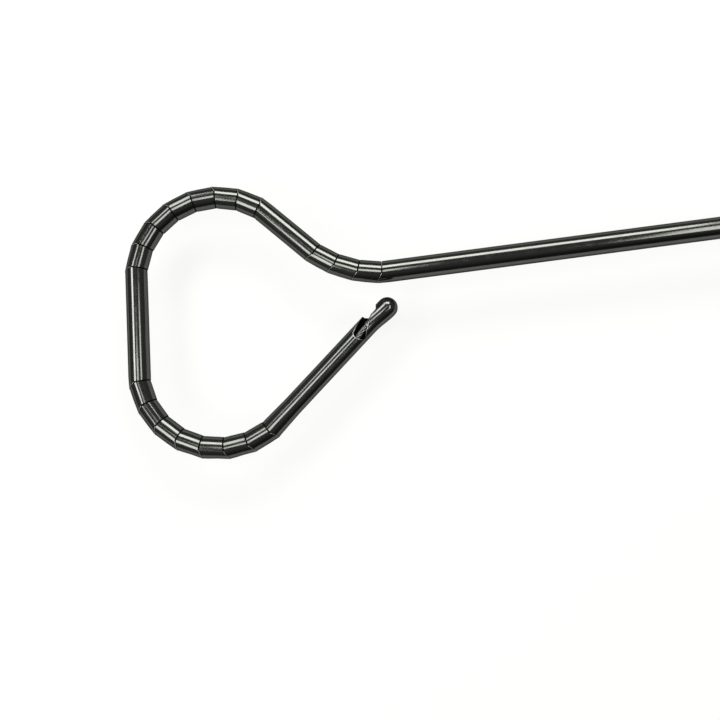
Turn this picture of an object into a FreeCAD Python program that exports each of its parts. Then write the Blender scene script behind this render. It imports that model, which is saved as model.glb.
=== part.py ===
import FreeCAD, Part

"""A laparoscopic retractor: a 5 mm shaft whose end is a chain of tube links.

A cable runs through the links. The knob on the handle pulls it tight through a rod, and the chain then
locks into an angled triangular loop. When the knob is turned back, the links open and the chain can be
laid straight to pass through a port.

Frame: millimetres. The origin is on the shaft's axis at its far end, where the first joint is. +X runs
along the shaft to the handle, and the loop lies in the XY plane with every joint's axis along Z.
"""

import math
import os

# Shaft
tube_diameter = 5.0
shaft_length = 330.0
shaft_bore = 3.4
shaft_end_length = 8.0
shaft_grip_depth = 18.0

# Chain of links, each length measured from joint to joint
short_link_length = 5.4
top_bar_length = 16.7
side_bar_length = 26.3
elbow_link_count = 3
upper_link_count = 7
lower_link_count = 7
elbow_turn = 11.8
upper_turn = 16.7
lower_turn = 16.7

# Seats between links: a ridge across the tube, and a lip on the outside of the bend
ridge_offset = 0.53
ridge_shift = -0.2
lip_reach = 1.1
seat_gap = 0.04
link_bore = 2.4
mouth_bore = 3.2
mouth_depth = 0.5

# Tip, where each setback is measured from the end of the bulb
tip_length = 40.6
tip_diameter = 4.55
tip_taper_length = 7.5
bulb_diameter = 4.8
bulb_setback = 8.2
bulb_offset = 0.45
bulb_steps = 3
tip_cavity_setback = 11.7
tip_cavity_length = 5.7
tip_cavity_diameter = 3.3
window_length = 7.2
window_width = 2.5
window_setback = 9.0
window_lean = 24.0
window_facing = 27.0
scoop_radius = 2.1
scoop_setback = 5.7
scoop_out = 2.9

# Cable and rod
cable_diameter = 1.6
ferrule_setback = 8.9
ferrule_length = 4.5
ferrule_diameter = 2.6
rod_diameter = 2.0
rod_ferrule_diameter = 3.0
rod_ferrule_start = 26.0
rod_ferrule_length = 10.0
rod_ferrule_web = 0.6

# Running and seated fits, all radial
running_fit = 0.05
seated_fit = 0.03
screw_play = 0.1
sliding_gap = 0.2

# Hub at the front of the handle
handle_diameter = 18.0
hub_front_diameter = 7.6
hub_cone_length = 16.0
hub_body_length = 16.0
hub_spigot_length = 12.0
nose_steps = 8
spigot_diameter = 14.0
hub_cavity_diameter = 6.4
hub_cavity_length = 9.0
grub_diameter = 2.5
grub_length = 4.6
grub_hex = 1.3
seal_section = 1.1
seal_sides = 12
gland_length = 12.0
gland_diameter = 9.0

# Flush port
port_diameter = 6.2
port_height = 9.5
port_sink = 3.5
port_bore = 4.2
port_bore_depth = 7.5
port_channel = 1.5
port_flange_diameter = 8.6
port_flange_height = 1.4
port_lug_reach = 0.8
port_lug_width = 2.6
port_lug_height = 1.2

# Grip
sleeve_length = 80.0
sleeve_waist_diameter = 15.6
waist_setback = 8.0
waist_length = 48.0
waist_steps = 12
sleeve_edge = 1.0
groove_count = 5
groove_width = 1.6
groove_depth = 0.7
groove_pitch = 4.2

# Draw bar and its guide
bar_diameter = 7.8
thread_diameter = 6.6
thread_lead = 1.5
bar_front_clearance = 1.5
rod_socket_depth = 15.0
pin_diameter = 1.5
pin_setback = 8.0
key_diameter = 2.4
key_depth = 1.8
key_play = 0.5
screw_diameter = 4.0
screw_hex = 2.0
screw_hex_depth = 1.6

# Rear bush, washer and ring
bush_spigot_length = 18.0
neck_diameter = 11.0
ring_thickness = 1.0
ring_width = 2.0
ring_seat_depth = 0.6
ring_opening = 50.0
washer_thickness = 1.0
washer_diameter = 17.0
neck_end_length = 1.4

# Knob
knob_diameter = 23.0
knob_bearing_length = 9.0
knob_cavity_diameter = 17.0
ring_room = 3.4
nut_length = 10.0
plug_thickness = 3.0
plug_dome = 1.2
dome_steps = 4
flute_count = 12
flute_radius = 2.6
flute_depth = 1.2
knob_collar_length = 4.0
knob_edge = 1.0

# Sizes that follow from the ones above
tube_radius = tube_diameter / 2
cable_radius = cable_diameter / 2
rod_radius = rod_diameter / 2
handle_radius = handle_diameter / 2
bar_radius = bar_diameter / 2
thread_radius = thread_diameter / 2
neck_radius = neck_diameter / 2
knob_radius = knob_diameter / 2
spigot_radius = spigot_diameter / 2
bulb_start = tip_length - bulb_setback
tip_cavity_start = tip_length - tip_cavity_setback
tip_cavity_end = tip_cavity_start + tip_cavity_length
window_centre = tip_length - window_setback
scoop_along = tip_length - scoop_setback
ferrule_start = tip_length - ferrule_setback
ferrule_end = ferrule_start + ferrule_length

X_AXIS = FreeCAD.Vector(1, 0, 0)
Y_AXIS = FreeCAD.Vector(0, 1, 0)
Z_AXIS = FreeCAD.Vector(0, 0, 1)
ORIGIN = FreeCAD.Vector(0, 0, 0)


def rod_between(radius, start, end):
    """A round bar from one point to another."""
    return Part.makeCylinder(radius, (end - start).Length, start, end - start)


def rod_x(radius, start, end):
    """A round bar on the X axis."""
    return rod_between(radius, FreeCAD.Vector(start, 0, 0), FreeCAD.Vector(end, 0, 0))


def tube_x(outer, inner, start, end):
    """A plain sleeve on the X axis."""
    return rod_x(outer, start, end).cut(rod_x(inner, start, end))


def revolve_x(edges):
    """Turns a closed outline of (x, radius) edges about the X axis."""
    return Part.Face(Part.Wire(edges)).revolve(ORIGIN, X_AXIS, 360)


def polyline(points):
    """Straight edges through (x, radius) points."""
    places = [FreeCAD.Vector(x, y, 0) for x, y in points]
    return [Part.makeLine(a, b) for a, b in zip(places, places[1:])]


def arc_points(start, middle, end, steps):
    """The (x, radius) points of an arc through three points, for a run of short cones."""
    places = [FreeCAD.Vector(x, y, 0) for x, y in (start, middle, end)]
    curve = Part.Arc(*places).toShape()
    return [(place.x, place.y) for place in curve.discretize(steps + 1)]


def hex_socket(across, depth):
    """A hexagonal recess that goes down from the origin along -Z."""
    corners = []
    for step in range(7):
        angle = math.radians(60 * step)
        corners.append(FreeCAD.Vector(across / 2 * math.cos(angle), across / 2 * math.sin(angle), -depth))
    return Part.Face(Part.makePolygon(corners)).extrude(FreeCAD.Vector(0, 0, depth))


class Joint:
    """One joint of the chain: where two axes cross, and the headings before and after it."""

    def __init__(self, place, heading, turn):
        self.place = place
        self.before = heading
        self.turn = turn
        self.after = heading + turn
        self.mean = heading + turn / 2
        # The outer side of the bend is on the right of a left turn.
        self.outward = self.mean - math.copysign(90, turn)

    def point(self, along, out):
        """A point in the plane of the loop, from the joint along the chain and out of the bend."""
        return self.place + heading_vector(self.mean) * along + heading_vector(self.outward) * out

    def pivot(self):
        """The tip of the outer lip, on which the links roll open."""
        return self.point(ridge_shift + lip_reach, tube_radius)

    def beyond(self, depth, shift):
        """The space on the far side of the seat, as deep as stated."""
        reach = 3 * tube_diameter
        slope = lip_reach / (tube_radius - ridge_offset)
        ridge = ridge_shift + shift
        far = depth + slope * reach
        corners = [self.point(ridge, -reach), self.point(ridge, ridge_offset)]
        corners += [self.point(ridge + slope * (reach - ridge_offset), reach)]
        corners += [self.point(far, reach), self.point(far, -reach), self.point(ridge, -reach)]
        low = FreeCAD.Vector(0, 0, -tube_diameter)
        outline = Part.makePolygon([corner + low for corner in corners])
        return Part.Face(outline).extrude(low * -2)


def heading_vector(heading):
    """The unit vector at a heading in degrees, in the plane of the loop."""
    return FreeCAD.Vector(math.cos(math.radians(heading)), math.sin(math.radians(heading)), 0)


def numbered(name, count):
    """Names of a run of like links."""
    return [f"{name}_{number}" for number in range(1, count + 1)]


elbow_links = numbered("elbow_link", elbow_link_count)
upper_links = numbered("upper_link", upper_link_count)
lower_links = numbered("lower_link", lower_link_count)
link_names = elbow_links + ["top_bar"] + upper_links + ["side_bar"] + lower_links + ["tip_bar"]
link_lengths = [short_link_length] * elbow_link_count + [top_bar_length]
link_lengths += [short_link_length] * upper_link_count + [side_bar_length]
link_lengths += [short_link_length] * lower_link_count + [tip_length]
link_turns = [-elbow_turn] * (elbow_link_count + 1)
link_turns += [upper_turn] * (upper_link_count + 1)
link_turns += [lower_turn] * (lower_link_count + 1)


def chain():
    """The joints in order from the shaft, which points along -X."""
    joints = []
    place = ORIGIN
    heading = 180.0
    for turn, length in zip(link_turns, link_lengths):
        joint = Joint(place, heading, turn)
        joints.append(joint)
        heading = joint.after
        place = place + heading_vector(heading) * length
    return joints


joints = chain()

# The cable gives this much when every joint rolls open on its lip, and the bar travels as far.
cable_travel = sum(math.radians(abs(turn)) for turn in link_turns) * tube_radius
knob_turns = cable_travel / thread_lead


def bored_link(body, start, end, along):
    """Drills a link's bore and widens both of its mouths."""
    over = tube_diameter
    bored = body.cut(rod_between(link_bore / 2, start - along * over, end + along * over))
    for mouth, inward in ((start, along), (end, along * -1)):
        flare = Part.makeCone(mouth_bore / 2, link_bore / 2, mouth_depth, mouth, inward)
        outside = rod_between(mouth_bore / 2, mouth, mouth - inward * over)
        bored = bored.cut(flare.fuse(outside))
    return bored


def make_link(index):
    """A tube link with a ridged seat at each end."""
    near = joints[index]
    far = joints[index + 1]
    along = heading_vector(near.after)
    over = tube_diameter
    body = rod_between(tube_radius, near.place - along * over, far.place + along * over)
    body = bored_link(body, near.place, far.place, along)
    body = body.common(near.beyond(link_lengths[index] + 2 * over, seat_gap / 2))
    return body.cut(far.beyond(2 * over, -seat_gap / 2))


def bulb():
    """The rounded end of the tip, set towards the outside of the loop, in the tip's own frame."""
    bulb_radius = bulb_diameter / 2
    tip_radius = tip_diameter / 2
    centre = tip_length - bulb_radius
    rings = []
    for step in range(bulb_steps + 1):
        share = step / bulb_steps
        eased = share * share * (3 - 2 * share)
        along = bulb_start + (centre - bulb_start) * share
        radius = tip_radius + (bulb_radius - tip_radius) * eased
        place = FreeCAD.Vector(along, -bulb_offset * eased, 0)
        rings.append(Part.Wire(Part.makeCircle(radius, place, X_AXIS)))
    swell = Part.makeLoft(rings, True, False)
    ball = Part.makeSphere(bulb_radius, FreeCAD.Vector(centre, -bulb_offset, 0))
    ball = ball.common(rod_x(tube_diameter, centre, tip_length + bulb_radius))
    return swell.fuse(ball)


def tip_window():
    """The oblique slot through the tip's wall, in the tip's own frame."""
    half = window_width / 2
    straight = (window_length - window_width) / 2
    corners = [FreeCAD.Vector(x, y, 0) for x, y in ((-straight, -half), (straight, -half))]
    corners += [FreeCAD.Vector(x, y, 0) for x, y in ((straight, half), (-straight, half))]
    round_end = Part.Arc(corners[1], FreeCAD.Vector(straight + half, 0, 0), corners[2]).toShape()
    round_start = Part.Arc(corners[3], FreeCAD.Vector(-straight - half, 0, 0), corners[0]).toShape()
    sides = [Part.makeLine(corners[0], corners[1]), Part.makeLine(corners[2], corners[3])]
    outline = Part.Wire([sides[0], round_end, sides[1], round_start])
    slot = Part.Face(outline).extrude(FreeCAD.Vector(0, 0, tube_diameter))
    slot.rotate(ORIGIN, Z_AXIS, window_lean)
    slot.rotate(ORIGIN, X_AXIS, -window_facing)
    slot.translate(FreeCAD.Vector(window_centre, 0, 0))
    return slot


def make_tip():
    """The last length: a tapered tube with a window, closed by the bulb."""
    first = joints[-1]
    over = tube_diameter
    tip_radius = tip_diameter / 2
    outline = [(-over, 0), (-over, tube_radius), (0, tube_radius), (tip_taper_length, tip_radius)]
    outline += [(bulb_start, tip_radius), (bulb_start, 0), (-over, 0)]
    tip = revolve_x(polyline(outline)).fuse(bulb())
    tip = tip.cut(rod_x(link_bore / 2, -over, tip_cavity_start))
    tip = tip.cut(rod_x(tip_cavity_diameter / 2, tip_cavity_start, tip_cavity_end))
    tip = tip.cut(rod_x(ferrule_diameter / 2 + seated_fit, tip_cavity_end, ferrule_end + seated_fit))
    tip = tip.cut(tip_window())
    scoop_place = FreeCAD.Vector(scoop_along, scoop_out, -over)
    tip = tip.cut(Part.makeCylinder(scoop_radius, 2 * over, scoop_place, Z_AXIS))
    flare = Part.makeCone(mouth_bore / 2, link_bore / 2, mouth_depth, ORIGIN, X_AXIS)
    tip = tip.cut(flare.fuse(rod_x(mouth_bore / 2, -over, 0)))
    tip.Placement = tip_placement()
    return tip.common(first.beyond(tip_length + 2 * over, seat_gap / 2))


def tip_placement():
    """Takes the tip's own frame, which runs along +X from its joint, to its place on the chain."""
    last = joints[-1]
    return FreeCAD.Placement(last.place, FreeCAD.Rotation(Z_AXIS, last.after))


def make_cable_ferrule():
    """The crimped end of the cable, seated in the bulb."""
    shell = rod_x(ferrule_diameter / 2, ferrule_start, ferrule_end)
    depth = cable_end_along() - ferrule_start + seated_fit
    shell = shell.cut(rod_x(cable_radius + seated_fit, ferrule_start, ferrule_start + depth))
    shell.Placement = tip_placement()
    return shell


def cable_end_along():
    """Where the cable ends, measured along the tip."""
    return (ferrule_start + tip_cavity_end) / 2


def rod_ferrule_middle():
    """The centre of the web between the cable and the rod."""
    return rod_ferrule_start + rod_ferrule_length / 2


def make_cable():
    """The cable from the rod's ferrule to the tip's, straight runs joined by tangent arcs."""
    start = FreeCAD.Vector(rod_ferrule_middle() - rod_ferrule_web / 2, 0, 0)
    last = joints[-1]
    end = last.place + heading_vector(last.after) * cable_end_along()
    points = [start] + [joint.place for joint in joints] + [end]
    edges = []
    free = start
    for before, here, after in zip(points, points[1:], points[2:]):
        into = (here - before).normalize()
        out_of = (after - here).normalize()
        half = into.getAngle(out_of) / 2
        shorter = min(here.distanceToPoint(before), here.distanceToPoint(after))
        trim = 0.45 * shorter
        arc_start = here - into * trim
        arc_end = here + out_of * trim
        inside = (out_of - into).normalize()
        middle = here + inside * (trim * (1 / math.cos(half) - 1) / math.tan(half))
        edges.append(Part.makeLine(free, arc_start))
        edges.append(Part.Arc(arc_start, middle, arc_end).toShape())
        free = arc_end
    edges.append(Part.makeLine(free, end))
    path = Part.Wire(edges)
    section = Part.Wire(Part.makeCircle(cable_radius, start, X_AXIS))
    cable = path.makePipeShell([section], True, False)
    expected = math.pi * cable_radius ** 2 * path.Length
    print(f"cable length {path.Length:.2f} volume ratio {cable.Volume / expected:.5f}")
    return cable


def make_shaft_tube():
    """The shaft, thick-walled at its far end, where it seats the first link."""
    over = tube_diameter
    body = rod_x(tube_radius, -over, shaft_length + shaft_grip_depth)
    body = body.cut(rod_x(link_bore / 2, -over, shaft_end_length))
    body = body.cut(rod_x(shaft_bore / 2, shaft_end_length, shaft_length + shaft_grip_depth))
    flare = Part.makeCone(mouth_bore / 2, link_bore / 2, mouth_depth, ORIGIN, X_AXIS)
    body = body.cut(flare.fuse(rod_x(mouth_bore / 2, -over, 0)))
    return body.cut(joints[0].beyond(2 * over, -seat_gap / 2))


# Places along the handle
hub_cone_end = shaft_length + hub_cone_length
hub_body_end = hub_cone_end + hub_body_length
hub_end = hub_body_end + hub_spigot_length
tube_end = shaft_length + shaft_grip_depth
cavity_end = tube_end + hub_cavity_length
seal_start = cavity_end + seal_section
seal_end = seal_start + seal_section + 2 * seated_fit
port_place = (tube_end + cavity_end) / 2
sleeve_end = hub_body_end + sleeve_length
bush_start = sleeve_end - bush_spigot_length
bar_front = hub_end + cable_travel + bar_front_clearance
knob_start = sleeve_end + washer_thickness
bearing_end = knob_start + knob_bearing_length
ring_start = bearing_end + running_fit
neck_end = ring_start + ring_thickness + neck_end_length
nut_start = bearing_end + ring_room
nut_end = nut_start + nut_length
bar_end = nut_end - nut_length / 2 + cable_travel
plug_start = bar_end + bar_front_clearance
knob_end = plug_start + plug_thickness


def hub_radius_at(place):
    """The hub's radius where its nose swells, as on its arc."""
    share = (place - shaft_length) / hub_cone_length
    front = hub_front_diameter / 2
    return front + (handle_radius - front) * math.sin(share * math.pi / 2)


def grub_place():
    """Where the grub screws press on the shaft."""
    return shaft_length + 0.75 * hub_cone_length


def make_nose_hub():
    """The tapered hub that holds the shaft, carries the port and houses the rod's seal."""
    front = hub_front_diameter / 2
    middle = shaft_length + hub_cone_length / 2
    nose = (shaft_length, front), (middle, hub_radius_at(middle)), (hub_cone_end, handle_radius)
    outline = arc_points(*nose, nose_steps)
    outline += [(hub_body_end, handle_radius), (hub_body_end, spigot_radius - seated_fit)]
    outline += [(hub_end, spigot_radius - seated_fit), (hub_end, 0)]
    outline += [(shaft_length, 0), (shaft_length, front)]
    hub = revolve_x(polyline(outline))
    hub = hub.cut(rod_x(tube_radius + seated_fit, shaft_length, tube_end))
    hub = hub.cut(rod_x(hub_cavity_diameter / 2, tube_end, cavity_end))
    hub = hub.cut(rod_x(rod_radius + sliding_gap, cavity_end, hub_end))
    hub = hub.cut(rod_x(rod_radius + seal_section + 2 * seated_fit + running_fit, seal_start, seal_end))
    hub = hub.cut(rod_x(gland_diameter / 2 + seated_fit, seal_end, hub_end))
    top = FreeCAD.Vector(port_place, 0, handle_radius)
    flange_seat = FreeCAD.Vector(port_place, 0, flange_level())
    body_seat = FreeCAD.Vector(port_place, 0, handle_radius - port_sink)
    hub = hub.cut(rod_between(port_flange_diameter / 2 + seated_fit, flange_seat, top + Z_AXIS))
    hub = hub.cut(rod_between(port_diameter / 2 + seated_fit, body_seat, top))
    hub = hub.cut(rod_between(port_channel / 2, FreeCAD.Vector(port_place, 0, 0), body_seat))
    hole_end = FreeCAD.Vector(grub_place(), handle_radius, 0)
    hole_start = FreeCAD.Vector(grub_place(), -handle_radius, 0)
    return hub.cut(rod_between(grub_diameter / 2 + seated_fit, hole_start, hole_end))


def flange_level():
    """The height at which the port's flange sits in its recess on top of the hub."""
    return handle_radius - port_flange_height / 2


def make_hub_screws():
    """Two grub screws that press on the shaft from both sides."""
    screws = []
    for side in (1, -1):
        screw = Part.makeCylinder(grub_diameter / 2, grub_length)
        screw = screw.cut(hex_socket(grub_hex, grub_hex).translate(FreeCAD.Vector(0, 0, grub_length)))
        screw.rotate(ORIGIN, X_AXIS, -90 * side)
        screw.translate(FreeCAD.Vector(grub_place(), side * (tube_radius + seated_fit), 0))
        screws.append(screw)
    return Part.makeCompound(screws)


def make_flush_port():
    """The cleaning port: a flanged nipple with a bore for a syringe and two locking lugs."""
    bottom = handle_radius - port_sink
    top = handle_radius + port_height
    port = Part.makeCylinder(port_diameter / 2, top - bottom, FreeCAD.Vector(0, 0, bottom))
    flange_place = FreeCAD.Vector(0, 0, flange_level())
    flange = Part.makeCylinder(port_flange_diameter / 2, port_flange_height, flange_place)
    lug_radius = port_diameter / 2 + port_lug_reach
    lugs = Part.makeCylinder(lug_radius, port_lug_height, FreeCAD.Vector(0, 0, top - port_lug_height))
    corner = FreeCAD.Vector(-port_lug_width / 2, -lug_radius, top - port_lug_height)
    lugs = lugs.common(Part.makeBox(port_lug_width, 2 * lug_radius, port_lug_height, corner))
    port = port.fuse([flange, lugs])
    port = port.cut(Part.makeCylinder(port_channel / 2, top - bottom, FreeCAD.Vector(0, 0, bottom)))
    seat = FreeCAD.Vector(0, 0, top - port_bore_depth)
    port = port.cut(Part.makeCylinder(port_bore / 2, port_bore_depth, seat))
    port.translate(FreeCAD.Vector(port_place, 0, 0))
    return port


def make_rod_seal():
    """The O-ring round the rod."""
    ring_radius = rod_radius + running_fit + seal_section / 2
    middle = (seal_start + seal_end) / 2
    outline = []
    for side in range(seal_sides + 1):
        corner = heading_vector(360 * side / seal_sides) * (seal_section / 2)
        outline.append((middle + corner.x, ring_radius + corner.y))
    return revolve_x(polyline(outline))


def make_seal_gland():
    """The threaded ring that holds the O-ring, with a screwdriver slot in its rear face."""
    start = seal_end + seated_fit
    end = start + gland_length
    gland = tube_x(gland_diameter / 2, rod_radius + sliding_gap, start, end)
    slot = Part.makeBox(key_depth, gland_diameter, port_channel)
    slot.translate(FreeCAD.Vector(end - key_depth, -gland_diameter / 2, -port_channel / 2))
    return gland.cut(slot)


def make_tension_rod():
    """The pull rod from the cable's ferrule to the draw bar."""
    start = rod_ferrule_middle() + rod_ferrule_web / 2
    rod = rod_x(rod_radius, start, bar_front + rod_socket_depth - seated_fit)
    return rod.cut(rod_pin_bar(pin_diameter / 2 + seated_fit))


def make_rod_ferrule():
    """The crimped sleeve that joins the cable and the rod inside the shaft."""
    end = rod_ferrule_start + rod_ferrule_length
    middle = rod_ferrule_middle()
    sleeve = rod_x(rod_ferrule_diameter / 2, rod_ferrule_start, end)
    sleeve = sleeve.cut(rod_x(cable_radius + seated_fit, rod_ferrule_start, middle - rod_ferrule_web / 2))
    return sleeve.cut(rod_x(rod_radius + seated_fit, middle + rod_ferrule_web / 2, end))


def rod_pin_bar(radius):
    """The cross pin's place in the bar."""
    reach = math.sqrt(bar_radius ** 2 - radius ** 2) - sliding_gap
    place = bar_front + pin_setback
    return rod_between(radius, FreeCAD.Vector(place, -reach, 0), FreeCAD.Vector(place, reach, 0))


def key_place():
    """Where the guide screw stands, in the middle of the grip's waist."""
    return waist_start() + waist_length / 2


def waist_start():
    """Where the grip's waist begins."""
    return hub_body_end + waist_setback


def make_draw_bar():
    """The sliding bar: a rod socket, a keyway and a threaded rear end."""
    thread_start = nut_start - sliding_gap
    outline = [(bar_front, 0), (bar_front, bar_radius - key_play), (bar_front + key_play, bar_radius)]
    outline += [(thread_start - key_play, bar_radius), (thread_start, thread_radius)]
    outline += [(bar_end - key_play, thread_radius), (bar_end, thread_radius - key_play), (bar_end, 0)]
    outline += [(bar_front, 0)]
    bar = revolve_x(polyline(outline))
    bar = bar.cut(rod_x(rod_radius + seated_fit, bar_front, bar_front + rod_socket_depth))
    bar = bar.cut(rod_between(pin_diameter / 2 + seated_fit, *pin_hole_ends()))
    half = key_diameter / 2 + key_play / 5
    start = key_place() - half - key_play
    length = cable_travel + 2 * (half + key_play)
    corner = FreeCAD.Vector(start, -half, -bar_radius)
    return bar.cut(Part.makeBox(length, 2 * half, key_depth, corner))


def pin_hole_ends():
    """The two ends of the cross hole, outside the bar."""
    place = bar_front + pin_setback
    return FreeCAD.Vector(place, -handle_radius, 0), FreeCAD.Vector(place, handle_radius, 0)


def make_guide_screw():
    """The screw whose dog end slides in the bar's keyway."""
    tip = bar_radius - key_depth + sliding_gap
    shoulder = bar_radius + key_play
    head = sleeve_waist_diameter / 2 - key_play
    screw = Part.makeCylinder(key_diameter / 2, shoulder - tip, FreeCAD.Vector(0, 0, tip))
    base = FreeCAD.Vector(0, 0, shoulder)
    screw = screw.fuse(Part.makeCylinder(screw_diameter / 2, head - shoulder, base))
    screw = screw.cut(hex_socket(screw_hex, screw_hex_depth).translate(FreeCAD.Vector(0, 0, head)))
    screw.rotate(ORIGIN, X_AXIS, 180)
    screw.translate(FreeCAD.Vector(key_place(), 0, 0))
    return screw


def make_handle_sleeve():
    """The grip: a turned sleeve with a long waist and a band of grooves near the knob."""
    start = waist_start()
    end = start + waist_length
    waist = (start, handle_radius), (key_place(), sleeve_waist_diameter / 2), (end, handle_radius)
    outline = [(hub_body_end, 0), (hub_body_end, handle_radius)] + arc_points(*waist, waist_steps)
    outline += [(sleeve_end - sleeve_edge, handle_radius), (sleeve_end, handle_radius - sleeve_edge)]
    outline += [(sleeve_end, 0), (hub_body_end, 0)]
    sleeve = revolve_x(polyline(outline))
    sleeve = sleeve.cut(rod_x(spigot_radius, hub_body_end, hub_end))
    sleeve = sleeve.cut(rod_x(bar_radius + running_fit, hub_end, bush_start))
    sleeve = sleeve.cut(rod_x(spigot_radius, bush_start, sleeve_end))
    for number in range(groove_count):
        place = end + groove_pitch / 2 + groove_pitch * number
        outer = handle_radius + groove_depth
        ring = tube_x(outer, handle_radius - groove_depth, place, place + groove_width)
        sleeve = sleeve.cut(ring)
    below = FreeCAD.Vector(key_place(), 0, -handle_radius)
    inside = FreeCAD.Vector(key_place(), 0, 0)
    return sleeve.cut(rod_between(screw_diameter / 2 + screw_play, inside, below))


def make_rear_bush():
    """The bush in the grip's rear end, with the neck that the knob turns on."""
    groove = neck_radius - ring_seat_depth
    outer = spigot_radius - seated_fit
    groove_end = ring_start + ring_thickness + seated_fit
    outline = [(bush_start, 0), (bush_start, outer), (sleeve_end, outer), (sleeve_end, neck_radius)]
    outline += [(ring_start - seated_fit, neck_radius), (ring_start - seated_fit, groove)]
    outline += [(groove_end, groove), (groove_end, neck_radius), (neck_end - key_play, neck_radius)]
    outline += [(neck_end, neck_radius - key_play), (neck_end, 0), (bush_start, 0)]
    return revolve_x(polyline(outline)).cut(rod_x(bar_radius + running_fit, bush_start, neck_end))


def make_thrust_washer():
    """The washer between the grip and the knob."""
    return tube_x(washer_diameter / 2, neck_radius + running_fit, sleeve_end, knob_start)


def make_retaining_ring():
    """The open spring ring that keeps the knob on the neck."""
    inner = neck_radius - ring_seat_depth + seated_fit
    ring = tube_x(inner + ring_width, inner, ring_start, ring_start + ring_thickness)
    gap = math.radians(ring_opening / 2)
    reach = 2 * neck_radius
    side = reach * math.tan(gap)
    corners = [FreeCAD.Vector(ring_start, 0, 0), FreeCAD.Vector(ring_start, reach, side)]
    corners += [FreeCAD.Vector(ring_start, reach, -side), FreeCAD.Vector(ring_start, 0, 0)]
    wedge = Part.Face(Part.makePolygon(corners)).extrude(X_AXIS * ring_thickness)
    return ring.cut(wedge)


def make_knob():
    """The fluted knob, bored for its bearing neck, the ring, the nut and the plug."""
    collar_end = knob_start + knob_collar_length
    swell_end = collar_end + (knob_radius - handle_radius)
    edge = (knob_end - knob_edge, knob_radius), (knob_end, knob_radius - knob_edge)
    outline = [(knob_start, 0), (knob_start, handle_radius - sleeve_edge)]
    outline += [(knob_start + sleeve_edge, handle_radius), (collar_end, handle_radius)]
    outline += [(swell_end, knob_radius), *edge, (knob_end, 0), (knob_start, 0)]
    knob = revolve_x(polyline(outline))
    knob = knob.cut(rod_x(neck_radius + running_fit, knob_start, bearing_end))
    knob = knob.cut(rod_x(knob_cavity_diameter / 2 - knob_edge / 2, bearing_end, nut_start))
    knob = knob.cut(rod_x(knob_cavity_diameter / 2, nut_start, knob_end))
    flute_centre = knob_radius + flute_radius - flute_depth
    for number in range(flute_count):
        angle = 2 * math.pi * number / flute_count
        side = FreeCAD.Vector(0, flute_centre * math.cos(angle), flute_centre * math.sin(angle))
        place = FreeCAD.Vector(collar_end, 0, 0) + side
        knob = knob.cut(Part.makeCylinder(flute_radius, knob_end - collar_end, place, X_AXIS))
    return knob


def make_knob_nut():
    """The threaded insert that draws the bar."""
    return tube_x(knob_cavity_diameter / 2 - seated_fit, thread_radius + running_fit, nut_start, nut_end)


def make_knob_plug():
    """The slightly domed plug that closes the knob."""
    radius = knob_cavity_diameter / 2 - seated_fit
    sphere = (radius ** 2 + plug_dome ** 2) / (2 * plug_dome)
    half_way = knob_end + plug_dome - sphere + math.sqrt(sphere ** 2 - radius ** 2 / 4)
    dome = (knob_end, radius), (half_way, radius / 2), (knob_end + plug_dome, 0)
    outline = arc_points(*dome, dome_steps) + [(plug_start, 0), (plug_start, radius), (knob_end, radius)]
    return revolve_x(polyline(outline))


def all_pieces():
    """Every piece by its node name."""
    pieces = {"shaft_tube": make_shaft_tube()}
    for index, name in enumerate(link_names[:-1]):
        pieces[name] = make_link(index)
    pieces["tip_bar"] = make_tip()
    pieces["cable_ferrule"] = make_cable_ferrule()
    pieces["tension_cable"] = make_cable()
    pieces["rod_ferrule"] = make_rod_ferrule()
    pieces["tension_rod"] = make_tension_rod()
    pieces["draw_bar"] = make_draw_bar()
    pieces["rod_pin"] = rod_pin_bar(pin_diameter / 2)
    pieces["nose_hub"] = make_nose_hub()
    pieces["hub_screws"] = make_hub_screws()
    pieces["flush_port"] = make_flush_port()
    pieces["rod_seal"] = make_rod_seal()
    pieces["seal_gland"] = make_seal_gland()
    pieces["handle_sleeve"] = make_handle_sleeve()
    pieces["guide_screw"] = make_guide_screw()
    pieces["rear_bush"] = make_rear_bush()
    pieces["thrust_washer"] = make_thrust_washer()
    pieces["retaining_ring"] = make_retaining_ring()
    pieces["knob"] = make_knob()
    pieces["knob_nut"] = make_knob_nut()
    pieces["knob_plug"] = make_knob_plug()
    return pieces


os.makedirs("parts", exist_ok=True)
for node, shape in all_pieces().items():
    shape.exportStep(f"parts/{node}.step")
    print(node, len(shape.Solids), round(shape.Volume, 3), shape.isValid())
print(f"cable travel {cable_travel:.3f} knob turns {knob_turns:.3f}")
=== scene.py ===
import logging
import math
from collections.abc import Callable, Iterable, Mapping, Sequence
from dataclasses import dataclass, field
from enum import Enum

import bmesh
import bpy
from mathutils import Matrix, Vector


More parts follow.
